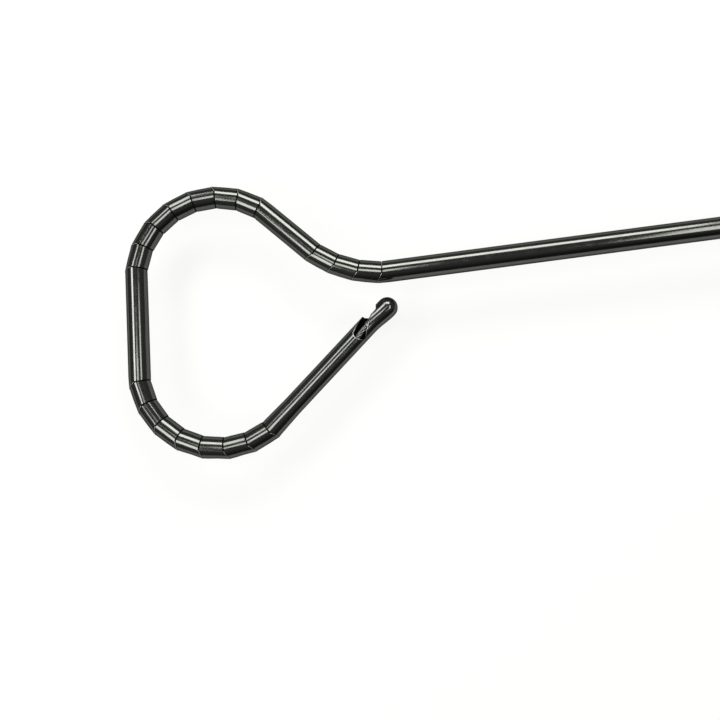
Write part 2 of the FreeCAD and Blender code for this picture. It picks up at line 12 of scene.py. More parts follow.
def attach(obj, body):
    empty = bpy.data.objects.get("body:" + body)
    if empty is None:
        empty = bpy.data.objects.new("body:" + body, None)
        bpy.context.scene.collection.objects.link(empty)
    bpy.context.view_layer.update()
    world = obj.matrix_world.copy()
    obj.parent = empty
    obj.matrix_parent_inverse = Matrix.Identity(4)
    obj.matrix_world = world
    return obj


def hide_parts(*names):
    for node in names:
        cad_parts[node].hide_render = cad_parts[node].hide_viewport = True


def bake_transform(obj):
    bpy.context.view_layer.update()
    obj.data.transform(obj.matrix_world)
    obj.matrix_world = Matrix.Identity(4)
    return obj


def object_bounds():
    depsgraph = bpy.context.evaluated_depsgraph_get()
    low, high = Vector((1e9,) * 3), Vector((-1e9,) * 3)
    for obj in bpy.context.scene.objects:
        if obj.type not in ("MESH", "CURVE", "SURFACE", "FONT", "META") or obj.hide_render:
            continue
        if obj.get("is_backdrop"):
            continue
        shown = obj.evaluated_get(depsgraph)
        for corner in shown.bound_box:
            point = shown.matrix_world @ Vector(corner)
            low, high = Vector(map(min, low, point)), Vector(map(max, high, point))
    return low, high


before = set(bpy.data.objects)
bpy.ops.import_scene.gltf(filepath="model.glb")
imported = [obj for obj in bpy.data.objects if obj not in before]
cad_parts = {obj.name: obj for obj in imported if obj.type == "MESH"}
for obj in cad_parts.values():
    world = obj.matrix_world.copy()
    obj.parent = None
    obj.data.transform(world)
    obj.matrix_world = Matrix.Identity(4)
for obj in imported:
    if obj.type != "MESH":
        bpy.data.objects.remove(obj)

# A laparoscopic retractor: a slim shaft whose end is a chain of tube links, locked as a rounded
# triangular loop, with a grip, a flush port and a tensioning knob. Meshes are worked in
# millimetres and stored in metres.

log = logging.getLogger("retractor")
MILLIMETRE = 0.001
CREASE = math.radians(32.0)
ON_SURFACE = 0.02
MERGE = 1e-4
AXIS_X = Vector((1.0, 0.0, 0.0))
AXIS_Y = Vector((0.0, 1.0, 0.0))
AXIS_Z = Vector((0.0, 0.0, 1.0))

BMesh = bmesh.types.BMesh
Socket = bpy.types.NodeSocket
Sockets = Mapping[str, Socket]
Surfaces = Callable[[Vector], list[tuple[Vector, float]]]


class Keep(Enum):
    """Which side of a seat a link lies on."""

    BEYOND = 1.0
    BEFORE = -1.0


class Lay(Enum):
    """The way that a surface was finished."""

    LENGTHWISE = "lengthwise"
    TURNED = "turned"
    PLAIN = "plain"


class Part(Enum):
    """The parts of a tube's surface, each with its own finish, by material number: painted shade
    for the bore, seats and seam bevels, and a bright lip edge that is partly a painted glint.
    """

    OUTSIDE = 0
    PAINTED_SHADE = 1
    EDGE = 2


class Tree:
    """A node tree with short calls to add and join nodes."""

    def __init__(self, tree: bpy.types.NodeTree) -> None:
        """Takes a node tree.

        Args:
            tree: the node tree to fill.
        """
        self.tree = tree

    @classmethod
    def of(cls, owner: bpy.types.Material | bpy.types.World) -> "Tree":
        """Starts the empty tree of a material or a world.

        Args:
            owner: what the nodes are for.

        Returns:
            The tree.
        """
        owner.use_nodes = True
        owner.node_tree.nodes.clear()
        return cls(owner.node_tree)

    def add(self, kind: str, values: dict | None = None, **settings: object) -> bpy.types.Node:
        """Adds a node.

        Args:
            kind: the node's type.
            values: what its inputs hold, by name or number: a value, or a socket to join.
            settings: the node's own settings.

        Returns:
            The node.
        """
        node = self.tree.nodes.new(kind)
        for name, value in settings.items():
            setattr(node, name, value)
        for name, value in (values or {}).items():
            if isinstance(value, Socket):
                self.tree.links.new(value, node.inputs[name])
            else:
                node.inputs[name].default_value = value
        return node

    def maths(self, operation: str, first: object, second: object = 0.0) -> Socket:
        """Adds a sum of two values, or of one alone, each a number or a socket."""
        return self.add("ShaderNodeMath", {0: first, 1: second}, operation=operation).outputs[0]

    def spread(self, value: Socket, low: float, high: float, start: float, end: float) -> Socket:
        """Maps a value from one range to another, with smooth ends.

        Args:
            value: the socket to map.
            low: the lower end of its range.
            high: the upper end of its range.
            start: what the lower end becomes.
            end: what the upper end becomes.

        Returns:
            The result's socket.
        """
        inputs = {"Value": value, "From Min": low, "From Max": high, "To Min": start, "To Max": end}
        node = self.add("ShaderNodeMapRange", inputs, interpolation_type="SMOOTHSTEP")
        return node.outputs["Result"]

    def blend(self, share: object, first: object, second: object) -> Socket:
        """Mixes two colours.

        Args:
            share: how much of the second colour, as a number or a socket.
            first: the first colour.
            second: the second colour.

        Returns:
            The mixed colour's socket.
        """
        one, two = (item if isinstance(item, Socket) else (*item, 1.0) for item in (first, second))
        return self.add("ShaderNodeMix", {0: share, 6: one, 7: two}, data_type="RGBA").outputs[2]


@dataclass(frozen=True)
class Pattern:
    """A shader node group that more than one material uses."""

    name: str
    numbers: tuple[tuple[str, float], ...]
    draw: Callable[[Tree, Sockets], Sockets]

    def place(self, tree: Tree, vector: Socket, **numbers: float) -> Sockets:
        """Places the group in a material, and makes it first if there is none yet.

        Args:
            tree: the material's nodes.
            vector: the place that the pattern is read at.
            numbers: the material's own values for the group's inputs.

        Returns:
            The group's outputs.
        """
        group = bpy.data.node_groups.get(self.name) or self.make()
        values = {"Vector": vector, **numbers}
        return tree.add("ShaderNodeGroup", values, node_tree=group).outputs

    def make(self) -> bpy.types.NodeTree:
        """Makes the group.

        Returns:
            The group.
        """
        group = bpy.data.node_groups.new(self.name, "ShaderNodeTree")
        sockets = group.interface
        sockets.new_socket(name="Vector", in_out="INPUT", socket_type="NodeSocketVector")
        for label, value in self.numbers:
            number = sockets.new_socket(name=label, in_out="INPUT", socket_type="NodeSocketFloat")
            number.default_value = value
        results = self.draw(Tree(group), group.nodes.new("NodeGroupInput").outputs)
        for label in results:
            sockets.new_socket(name=label, in_out="OUTPUT", socket_type="NodeSocketFloat")
        Tree(group).add("NodeGroupOutput", dict(results))
        return group


def draw_grain(tree: Tree, source: Sockets) -> Sockets:
    """Draws fine lines that run one way, as left by brushing or turning.

    Args:
        tree: the group's nodes.
        source: the group's inputs.

    Returns:
        The lines, and broader bands of them.
    """
    across = source["Across"]
    stretch = tree.add("ShaderNodeCombineXYZ", {0: source["Along"], 1: across, 2: across})
    place = tree.add("ShaderNodeVectorMath", {0: source["Vector"], 1: stretch.outputs[0]},
                     operation="MULTIPLY").outputs[0]
    fine = {"Vector": place, "Scale": 1.0, "Detail": 4.0, "Roughness": 0.62}
    broad = {"Vector": place, "Scale": 0.31, "Detail": 2.0, "Roughness": 0.5}
    lines, bands = (tree.add("ShaderNodeTexNoise", values).outputs["Fac"]
                    for values in (fine, broad))
    return {"Lines": lines, "Bands": tree.spread(bands, 0.32, 0.68, 0.0, 1.0)}


def draw_smudges(tree: Tree, source: Sockets) -> Sockets:
    """Draws blotches left by handling and polishing.

    Args:
        tree: the group's nodes.
        source: the group's inputs.

    Returns:
        Where they are.
    """
    values = {"Vector": source["Vector"], "Scale": source["Scale"], "Detail": 3.0,
              "Roughness": 0.6, "Distortion": 0.7}
    noise = tree.add("ShaderNodeTexNoise", values)
    return {"Mask": tree.spread(noise.outputs["Fac"], 0.42, 0.7, 0.0, 1.0)}


def draw_specks(tree: Tree, source: Sockets) -> Sockets:
    """Draws tiny dark pits and specks, far apart.

    Args:
        tree: the group's nodes.
        source: the group's inputs.

    Returns:
        Where they are.
    """
    values = {"Vector": source["Vector"], "Scale": source["Scale"], "Randomness": 1.0}
    cells = tree.add("ShaderNodeTexVoronoi", values)
    size = tree.maths("MULTIPLY", source["Size"], source["Scale"])
    near = tree.maths("LESS_THAN", cells.outputs["Distance"], size)
    chosen = tree.add("ShaderNodeSeparateColor", {0: cells.outputs["Color"]})
    rare = tree.maths("GREATER_THAN", chosen.outputs[0], 0.82)
    return {"Mask": tree.maths("MULTIPLY", near, rare)}


def draw_knurl(tree: Tree, source: Sockets) -> Sockets:
    """Draws crossed helical cuts on a round grip, within a band along it.

    Args:
        tree: the group's nodes.
        source: the group's inputs.

    Returns:
        The height of the grip between the cuts, and the band.
    """
    along, right, up = tree.add("ShaderNodeSeparateXYZ", {0: source["Vector"]}).outputs
    around = tree.maths("MULTIPLY", tree.maths("ARCTAN2", up, right), source["Count"])
    phase = tree.maths("MULTIPLY", along, source["Pitch"])
    cuts = [tree.maths("ABSOLUTE", tree.maths("SINE", tree.maths(way, phase, around)))
            for way in ("ADD", "SUBTRACT")]
    deep = tree.maths("POWER", tree.maths("MULTIPLY", *cuts), 0.45)
    from_start = tree.maths("GREATER_THAN", along, source["Start"])
    to_end = tree.maths("LESS_THAN", along, source["End"])
    band = tree.maths("MULTIPLY", from_start, to_end)
    return {"Height": tree.maths("MULTIPLY", deep, band), "Band": band}


class Patterns:
    """The patterns of the finishes."""

    grain = Pattern("fine_grain", (("Along", 0.2), ("Across", 6.0)), draw_grain)
    smudges = Pattern("handling_smudges", (("Scale", 0.5),), draw_smudges)
    specks = Pattern("tiny_specks", (("Scale", 0.35), ("Size", 0.12)), draw_specks)
    knurl = Pattern("crossed_knurl",
                    (("Pitch", 2.6), ("Count", 20.0), ("Start", 0.0), ("End", 1.0)), draw_knurl)


@dataclass(frozen=True)
class Knurl:
    """Where a knurl lies on a round piece along X, how many cuts go round, and its relief."""

    start: float
    end: float
    count: float
    pitch: float
    relief: float = 0.3


@dataclass(frozen=True)
class Finish:
    """One finish: its colours, sheen and the scale of its marks, in millimetres."""

    name: str
    colour: tuple[float, float, float]
    shade: tuple[float, float, float]
    metallic: float = 1.0
    roughness: float = 0.14
    worn_roughness: float = 0.26
    lay: Lay = Lay.LENGTHWISE
    across: float = 5.0
    along: float = 0.12
    depth: float = 0.004
    smudge_scale: float = 0.35
    band_share: float = 0.55
    smudge_share: float = 0.35
    speck_share: float = 0.8
    edge_tint: float = 1.0
    specular: float = 0.5
    knurl: Knurl | None = None

    def darker(self, share: float) -> tuple[float, float, float]:
        """A share of the main colour."""
        return tuple(share * part for part in self.colour)

    def coordinates(self, tree: Tree, place: Vector | None, heading: float) -> Socket:
        """Reads places on a piece in millimetres, from its own point and along its own direction.

        Args:
            tree: the material's nodes.
            place: the point, in millimetres.
            heading: the direction in the plane of the loop, in degrees.

        Returns:
            The place's socket.
        """
        own = {"Vector": tree.add("ShaderNodeTexCoord").outputs["Object"],
               "Location": (place or Vector()) * MILLIMETRE,
               "Rotation": (0.0, 0.0, math.radians(heading)), "Scale": (MILLIMETRE,) * 3}
        return tree.add("ShaderNodeMapping", own, vector_type="TEXTURE").outputs["Vector"]

    def material(self, label: str, place: Vector | None = None,
                 heading: float = 0.0) -> bpy.types.Material:
        """Makes the finish for one piece.

        Args:
            label: the piece's name.
            place: the point that the marks are measured from, in millimetres.
            heading: the piece's own direction in the plane of the loop, in degrees.

        Returns:
            The material.
        """
        material = bpy.data.materials.new(f"{self.name}.{label}")
        material.diffuse_color = (*self.colour, 1.0)
        tree = Tree.of(material)
        vector = self.coordinates(tree, place, heading)
        along, across = {Lay.LENGTHWISE: (self.along, self.across),
                         Lay.TURNED: (self.across, self.along),
                         Lay.PLAIN: (self.across, self.across)}[self.lay]
        grain = Patterns.grain.place(tree, vector, Along=along, Across=across)
        smudges = Patterns.smudges.place(tree, vector, Scale=self.smudge_scale)["Mask"]
        specks = Patterns.specks.place(tree, vector)["Mask"]
        colour: object = self.colour
        for mask, share, other in ((grain["Bands"], self.band_share, self.shade),
                                   (smudges, self.smudge_share, self.shade),
                                   (specks, self.speck_share, self.darker(0.15))):
            colour = tree.blend(tree.maths("MULTIPLY", mask, share), colour, other)
        rough = tree.spread(grain["Lines"], 0.3, 0.7, self.roughness, self.worn_roughness)
        rough = tree.maths("ADD", rough, tree.maths("MULTIPLY", smudges, 0.05))
        bump = {"Strength": 1.0, "Distance": self.depth * MILLIMETRE, "Height": grain["Lines"]}
        normal = tree.add("ShaderNodeBump", bump).outputs["Normal"]
        if self.knurl:
            cuts = Patterns.knurl.place(tree, vector, Pitch=self.knurl.pitch,
                                        Count=self.knurl.count, Start=self.knurl.start,
                                        End=self.knurl.end)
            bump = {"Strength": 1.0, "Distance": self.knurl.relief * MILLIMETRE,
                    "Height": cuts["Height"], "Normal": normal}
            normal = tree.add("ShaderNodeBump", bump).outputs["Normal"]
            # Painted shade: the colour darkens to a third in the knurl's cuts, standing in for
            # shade in the grooves.
            low = tree.spread(cuts["Height"], 0.2, 0.7, 0.7, 0.0)
            low = tree.maths("MULTIPLY", cuts["Band"], low)
            colour = tree.blend(low, colour, self.darker(0.35))
        surface = {"Base Color": colour, "Roughness": rough, "Normal": normal,
                   "Metallic": self.metallic, "Specular IOR Level": self.specular,
                   "Specular Tint": (*(self.edge_tint,) * 3, 1.0)}
        principled = tree.add("ShaderNodeBsdfPrincipled", surface)
        tree.add("ShaderNodeOutputMaterial", {"Surface": principled.outputs[0]})
        return material


class Finishes:
    """The finishes of the retractor."""

    steel = Finish("polished_tube_steel", (0.165, 0.170, 0.155), (0.120, 0.125, 0.113),
                   roughness=0.09, worn_roughness=0.15, across=6.0, along=0.03, depth=0.0018,
                   edge_tint=0.36)
    cable = Finish("cable_steel", (0.30, 0.30, 0.285), (0.17, 0.17, 0.16), roughness=0.24,
                   worn_roughness=0.4)
    rod = Finish("ground_rod_steel", (0.42, 0.42, 0.41), (0.34, 0.34, 0.33), roughness=0.18,
                 worn_roughness=0.3)
    screw = Finish("screw_steel", (0.32, 0.32, 0.31), (0.24, 0.24, 0.235), roughness=0.22,
                   worn_roughness=0.36, lay=Lay.PLAIN, across=3.0)
    handle = Finish("satin_handle_steel", (0.46, 0.465, 0.455), (0.39, 0.395, 0.39),
                    roughness=0.27, worn_roughness=0.42, lay=Lay.TURNED, across=7.0, along=0.05,
                    depth=0.006, smudge_scale=0.12)
    grip = Finish("knurled_grip_steel", (0.46, 0.465, 0.455), (0.39, 0.395, 0.39),
                  roughness=0.27, worn_roughness=0.42, lay=Lay.TURNED, across=7.0, along=0.05,
                  depth=0.006, smudge_scale=0.12, knurl=Knurl(372.0, 415.0, 22.0, 2.75))
    knob = Finish("satin_knob_steel", (0.43, 0.435, 0.43), (0.36, 0.365, 0.36), roughness=0.22,
                  worn_roughness=0.36, lay=Lay.TURNED, across=7.0, along=0.05, depth=0.005,
                  smudge_scale=0.15)
    port = Finish("polished_port_steel", (0.48, 0.48, 0.47), (0.42, 0.42, 0.41), roughness=0.10,
                  worn_roughness=0.2, lay=Lay.PLAIN, across=4.0, depth=0.003)
    brass = Finish("turned_bronze", (0.60, 0.44, 0.22), (0.48, 0.34, 0.16), roughness=0.2,
                   worn_roughness=0.35, lay=Lay.TURNED, across=6.0, along=0.05)
    # Painted shade: a near-black, matt colour on the bore, the seats and the seam bevels, standing
    # in for the shade that falls in the gaps between links.
    bore = Finish("painted_seam_shade", (0.007, 0.007, 0.006), (0.004, 0.004, 0.004), metallic=0.0,
                  roughness=0.7, worn_roughness=0.8, lay=Lay.PLAIN, specular=0.05)
    # Partly painted glint: the ground lip and rim bevels get a much brighter steel colour than the
    # tube, so that they show as bright glints.
    edge = Finish("ground_edge_and_glint", (0.52, 0.53, 0.50), (0.42, 0.43, 0.40), roughness=0.34,
                  worn_roughness=0.48, lay=Lay.PLAIN)
    rubber = Finish("seal_rubber", (0.022, 0.022, 0.022), (0.035, 0.035, 0.035), metallic=0.0,
                    roughness=0.5, worn_roughness=0.7, lay=Lay.PLAIN)
    plastic = Finish("bearing_plastic", (0.72, 0.70, 0.64), (0.64, 0.62, 0.56), metallic=0.0,
                     roughness=0.38, worn_roughness=0.52, lay=Lay.TURNED, along=0.1)


NODE_FINISHES = {
    Finishes.cable: ("cable_ferrule", "tension_cable", "rod_ferrule"),
    Finishes.rod: ("tension_rod", "draw_bar", "rod_pin"),
    Finishes.screw: ("hub_screws", "seal_gland", "guide_screw", "retaining_ring"),
    Finishes.handle: ("nose_hub",),
    Finishes.grip: ("handle_sleeve",),
    Finishes.knob: ("knob", "knob_plug"),
    Finishes.port: ("flush_port",),
    Finishes.brass: ("rear_bush", "knob_nut"),
    Finishes.rubber: ("rod_seal",),
    Finishes.plastic: ("thrust_washer",),
}


def add_object(name: str, data: bpy.types.ID) -> bpy.types.Object:
    """Adds an object to the scene.

    Args:
        name: its name.
        data: its mesh, camera or lamp.

    Returns:
        The object.
    """
    thing = bpy.data.objects.new(name, data)
    bpy.context.scene.collection.objects.link(thing)
    return thing


def place_mesh(name: str, work: BMesh, material: bpy.types.Material,
               weighted: bool = False) -> bpy.types.Object:
    """Turns a worked mesh in millimetres into a finished object in metres.

    Args:
        name: the object's name.
        work: the mesh, which is used up.
        material: its finish.
        weighted: whether broad faces lead the shading.

    Returns:
        The object.
    """
    for face in work.faces:
        face.smooth = True
    for edge in work.edges:
        edge.smooth = len(edge.link_faces) == 2 and edge.calc_face_angle(0.0) < CREASE
    bmesh.ops.scale(work, vec=(MILLIMETRE,) * 3, verts=work.verts[:])
    mesh = bpy.data.meshes.new(name)
    work.to_mesh(mesh)
    work.free()
    mesh.materials.append(material)
    piece = add_object(name, mesh)
    if weighted:
        piece.modifiers.new("even_shading", "WEIGHTED_NORMAL").keep_sharp = True
    log.info("%s: %d faces", name, len(mesh.polygons))
    return piece


def everything(work: BMesh) -> list:
    """All the vertices, edges and faces of a mesh."""
    return work.verts[:] + work.edges[:] + work.faces[:]


def with_corners(faces: Iterable[bmesh.types.BMFace]) -> list:
    """Faces with their edges and corners, each once."""
    corners = (item for face in faces for item in (face, *face.edges, *face.verts))
    return list(dict.fromkeys(corners))


def round_surface(work: BMesh, radius: float, start: Vector, end: Vector, segments: int) -> None:
    """Adds an open round surface between two points.

    Args:
        work: the mesh to add to.
        radius: its radius.
        start: the centre of one end.
        end: the centre of the other end.
        segments: how many faces go round.
    """
    axis = end - start
    turn = axis.to_track_quat("Z", "Y").to_matrix().to_4x4()
    bmesh.ops.create_cone(work, cap_ends=False, segments=segments, radius1=radius, radius2=radius,
                          depth=axis.length, matrix=Matrix.Translation((start + end) / 2) @ turn)


def bevel_edges(work: BMesh, edges: Sequence[bmesh.types.BMEdge], width: float,
                steps: int) -> None:
    """Bevels sharp edges.

    Args:
        work: the mesh.
        edges: the edges.
        width: how far the bevel reaches on each face.
        steps: how many faces it has across.
    """
    bmesh.ops.bevel(work, geom=edges, offset=width, offset_type="OFFSET", segments=steps,
                    profile=0.5, affect="EDGES", clamp_overlap=False, material=-1)


def dress_parts(piece: bpy.types.Object, surfaces: Surfaces,
                sort: Callable[[Vector, float], Part]) -> None:
    """Paints the bore, seats and seam bevels near black as painted shade, and gives ground edges a
    brighter colour that is partly a painted glint.

    Args:
        piece: the object.
        surfaces: measures points, the outer surface first.
        sort: tells from a face's middle and its gap to the outer surface which part it is.
    """
    mesh = piece.data
    # Material 1 is the painted shade; material 2 is the brighter edge, partly a painted glint.
    mesh.materials.append(Finishes.bore.material(f"{piece.name}_bore"))
    mesh.materials.append(Finishes.edge.material(f"{piece.name}_edge"))
    for face in mesh.polygons:
        corners = [mesh.vertices[index].co for index in face.vertices]
        middle = sum(corners, Vector()) / len(corners) / MILLIMETRE
        face.material_index = sort(middle, surfaces(middle)[0][1]).value


def round_normals(piece: bpy.types.Object, surfaces: Surfaces,
                  eased: Callable[[Vector], Vector], least_facing: float = 0.6) -> None:
    """Gives the faces that lie on round surfaces exactly round shading.

    Args:
        piece: the object.
        surfaces: gives each round surface's outward direction at a point and the gap to it.
        eased: moves a corner a little once its shading is known.
        least_facing: how well a face must face a surface's outward direction.
    """
    mesh = piece.data
    normals = []
    for face in mesh.polygons:
        for corner in face.loop_indices:
            place = mesh.vertices[mesh.loops[corner].vertex_index].co / MILLIMETRE
            best = Vector(face.normal)
            most = least_facing
            for outward, gap in surfaces(place):
                facing = outward.dot(face.normal)
                if abs(gap) < ON_SURFACE and abs(facing) > most:
                    best, most = outward * math.copysign(1.0, facing), abs(facing)
            normals.append(best)
    for vertex in mesh.vertices:
        vertex.co = eased(vertex.co / MILLIMETRE) * MILLIMETRE
    mesh.normals_split_custom_set(normals)


def carved(work: BMesh, cutters: Sequence[BMesh]) -> BMesh:
    """Cuts closed shapes out of a closed mesh.

    Args:
        work: the mesh, which is used up.
        cutters: the shapes, which are used up.

    Returns:
        The carved mesh.
    """
    objects = []
    for number, shape in enumerate([work, *cutters]):
        mesh = bpy.data.meshes.new(f"carving_{number}")
        shape.to_mesh(mesh)
        shape.free()
        objects.append(add_object(mesh.name, mesh))
    for cutter in objects[1:]:
        cut = objects[0].modifiers.new(cutter.name, "BOOLEAN")
        cut.operation = "DIFFERENCE"
        cut.solver = "EXACT"
        cut.object = cutter
    graph = bpy.context.evaluated_depsgraph_get()
    mesh = bpy.data.meshes.new_from_object(objects[0].evaluated_get(graph))
    result = bmesh.new()
    result.from_mesh(mesh)
    bpy.data.meshes.remove(mesh)
    for temporary in objects:
        used = temporary.data
        bpy.data.objects.remove(temporary)
        bpy.data.meshes.remove(used)
    return result


def curve_mesh(curve: bpy.types.Curve) -> bpy.types.Mesh:
    """Turns a curve into a mesh.

    Args:
        curve: the curve, which is used up.

    Returns:
        The mesh.
    """
    carrier = bpy.data.objects.new(curve.name, curve)
    mesh = bpy.data.meshes.new_from_object(carrier)
    bpy.data.objects.remove(carrier)
    bpy.data.curves.remove(curve)
    return mesh


def finish_piece(piece: bpy.types.Object, body: str, slot: str, *nodes: str) -> None:
    """Sets a piece on its body and hides the CAD nodes that it stands for.

    Args:
        piece: the finished piece.
        body: the body that it moves with.
        slot: the record's material slot; not used.
        nodes: the CAD nodes that it replaces.
    """
    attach(piece, body)
    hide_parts(*nodes)


def heading_vector(heading: float) -> Vector:
    """The direction at a heading in degrees, in the plane of the loop."""
    return Vector((math.cos(math.radians(heading)), math.sin(math.radians(heading)), 0.0))


@dataclass(frozen=True)
class Joint:
    """Where two axes of the chain cross, in millimetres and degrees."""

    place: Vector
    before: float
    turn: float

    @property
    def after(self) -> float:
        """The heading beyond the joint."""
        return self.before + self.turn

    @property
    def mean(self) -> Vector:
        """The direction half way through the turn."""
        return heading_vector(self.before + self.turn / 2)

    @property
    def outward(self) -> Vector:
        """The direction out of the bend."""
        return heading_vector(self.before + self.turn / 2 - math.copysign(90.0, self.turn))


@dataclass
class Chain:
    """The links of the loop: seats cut across round tubes, with bevels in near-black painted shade
    and bright bevels that are partly a painted glint.
    """

    radius: float = 2.5
    bore: float = 1.2
    short: float = 5.4
    top_bar: float = 16.7
    side_bar: float = 26.3
    tip: float = 40.6
    elbow_turn: float = -11.8
    bend_turn: float = 16.7
    overlength: float = 4.0
    ridge_offset: float = 0.53
    ridge_shift: float = -0.2
    lip_reach: float = 1.1
    zone: float = 1.95
    near_reach: float = 12.0
    seat_gap: float = 0.05
    lip_rise: float = 0.035
    lip_drop: float = 0.125
    lip_margin: float = 0.3
    ease_start: float = 0.3
    skin: float = 0.006
    bevel: float = 0.15
    bevel_margin: float = 1.05
    bevel_steps: int = 2
    mouth: float = 0.35
    sharp: float = math.radians(40.0)
    segments: int = 96
    joints: list[Joint] = field(default_factory=list)
    names: list[str] = field(default_factory=list)

    def __post_init__(self) -> None:
        """Lays out the joints from the shaft's end."""
        rows = (("elbow_link", 3, "top_bar", self.top_bar),
                ("upper_link", 7, "side_bar", self.side_bar),
                ("lower_link", 7, "tip_bar", self.tip))
        lengths = []
        for short_name, count, long_name, length in rows:
            self.names += [f"{short_name}_{number + 1}" for number in range(count)] + [long_name]
            lengths += [self.short] * count + [length]
        turns = [self.elbow_turn] * 4 + [self.bend_turn] * 16
        place = Vector()
        heading = 180.0
        for turn, length in zip(turns, lengths):
            joint = Joint(place.copy(), heading, turn)
            self.joints.append(joint)
            heading = joint.after
            place = place + heading_vector(heading) * length

    def at_seat(self, place: Vector, joint: Joint) -> bool:
        """Whether a place lies at a joint's seat."""
        arm = place - joint.place
        return abs(arm.dot(joint.mean)) < self.zone and arm.length < 3 * self.radius

    def edges_at(self, work: BMesh, joint: Joint) -> list[bmesh.types.BMEdge]:
        """The edges of a mesh whose middles lie at a joint's seat."""
        return [edge for edge in work.edges
                if self.at_seat((edge.verts[0].co + edge.verts[1].co) / 2, joint)]

    def cut_seat(self, work: BMesh, joint: Joint, keep: Keep) -> None:
        """Cuts a seat across tubes: straight on the inner side, and oblique under the outer lip.

        Args:
            work: the tubes' open surfaces.
            joint: the joint that the seat belongs to.
            keep: which side stays.
        """
        sign, mean = keep.value, joint.mean
        slope = self.lip_reach / (self.radius - self.ridge_offset)
        ridge = joint.place + mean * (self.ridge_shift + sign * self.seat_gap / 2)
        ridge += joint.outward * self.ridge_offset
        oblique = (mean - joint.outward * slope).normalized()

        def near(face: bmesh.types.BMFace) -> bool:
            """Whether a face lies in the zone that the seat is cut in."""
            arm = face.calc_center_median() - joint.place
            return arm.dot(mean) * sign < self.zone and arm.length < self.near_reach

        bmesh.ops.bisect_plane(work, geom=everything(work), plane_no=mean,
                               plane_co=joint.place + mean * (sign * self.zone))
        cut = bmesh.ops.bisect_plane(work, geom=with_corners(filter(near, work.faces)),
                                     plane_co=ridge, plane_no=joint.outward)
        lengthwise = [item for item in cut["geom_cut"] if isinstance(item, bmesh.types.BMEdge)]
        bmesh.ops.split_edges(work, edges=lengthwise)
        for side, normal in ((-1.0, mean), (1.0, oblique)):
            half = [face for face in work.faces if near(face)
                    and (face.calc_center_median() - ridge).dot(joint.outward) * side > 0]
            bmesh.ops.bisect_plane(work, geom=with_corners(half), plane_co=ridge, plane_no=normal,
                                   clear_inner=keep is Keep.BEYOND,
                                   clear_outer=keep is Keep.BEFORE)
        bmesh.ops.remove_doubles(work, verts=work.verts[:], dist=MERGE)

    def close_seat(self, work: BMesh, joint: Joint, start: Vector, axis: Vector) -> None:
        """Closes a cut end between the tube and its bore, and bevels both rims.

        Args:
            work: the cut surfaces.
            joint: the joint at this end.
            start: a point on the link's axis.
            axis: the link's direction.
        """
        ends = [edge for edge in self.edges_at(work, joint) if edge.is_boundary]
        bmesh.ops.bridge_loops(work, edges=ends)
        bmesh.ops.recalc_face_normals(work, faces=work.faces[:])
        for radius, width in ((self.bore, self.mouth), (self.radius, self.bevel)):
            rim = []
            for edge in self.edges_at(work, joint):
                arms = [vertex.co - start for vertex in edge.verts]
                gaps = [abs((arm - axis * arm.dot(axis)).length - radius) for arm in arms]
                if edge.calc_face_angle(0.0) >= self.sharp and max(gaps) < ON_SURFACE:
                    rim.append(edge)
            bevel_edges(work, rim, width, self.bevel_steps)

    def surfaces(self, place: Vector, axis: Vector, bore: float) -> Surfaces:
        """Measures points against a tube's round outer and inner surfaces.

        Args:
            place: a point on the axis.
            axis: the axis.
            bore: the inner radius.

        Returns:
            A function that measures one point.
        """

        def measure(point: Vector) -> list[tuple[Vector, float]]:
            """Measures one point.

            Args:
                point: the point.

            Returns:
                Each surface's outward direction there and the gap to it.
            """
            arm = point - place
            arm = arm - axis * arm.dot(axis)
            distance = arm.length
            outward = arm.normalized() if distance > 1e-6 else AXIS_Z
            return [(outward, distance - self.radius), (outward, distance - bore)]

        return measure

    def sorter(self, lip: Joint | None = None) -> Callable[[Vector, float], Part]:
        """Tells which part of a tube's surface a face is: the lip's own bevel is ground and
        coloured bright as a partly painted glint, the other inner faces are painted shade.

        Args:
            lip: the joint at the far end, where the tube's lip reaches over the next tube.

        Returns:
            A function of a face's middle and its gap to the outer surface.
        """

        def sort(middle: Vector, gap: float) -> Part:
            """Sorts one face.

            Args:
                middle: the face's middle.
                gap: how far it lies outside the outer surface.

            Returns:
                The part.
            """
            if gap > -self.skin:
                return Part.OUTSIDE
            if lip is None or gap < -self.bevel_margin * self.bevel:
                return Part.PAINTED_SHADE
            arm = middle - lip.place
            over = arm.dot(lip.outward) > self.ridge_offset + self.lip_margin
            return Part.EDGE if over and abs(arm.dot(lip.mean)) < self.zone else Part.PAINTED_SHADE

        return sort

    def eased(self, beyond: Joint | None = None,
              before: Joint | None = None) -> Callable[[Vector], Vector]:
        """Brings the outer lips of two tubes level, as polishing them together does.

        Args:
            beyond: the joint that the tube starts at.
            before: the joint that the tube ends at.

        Returns:
            A function that moves one corner.
        """
        moves = [(joint, shift) for joint, shift in
                 ((beyond, self.lip_rise), (before, -self.lip_drop)) if joint]

        def move(place: Vector) -> Vector:
            """Moves one corner.

            Args:
                place: the corner.

            Returns:
                Its new place.
            """
            for joint, shift in moves:
                if self.at_seat(place, joint):
                    reach = (place - joint.place).dot(joint.outward)
                    share = max(reach / self.radius - self.ease_start, 0.0)
                    share /= 1 - self.ease_start
                    level = min(reach + shift * min(share, 1.0), self.radius)
                    return place + joint.outward * (level - reach)
            return place

        return move

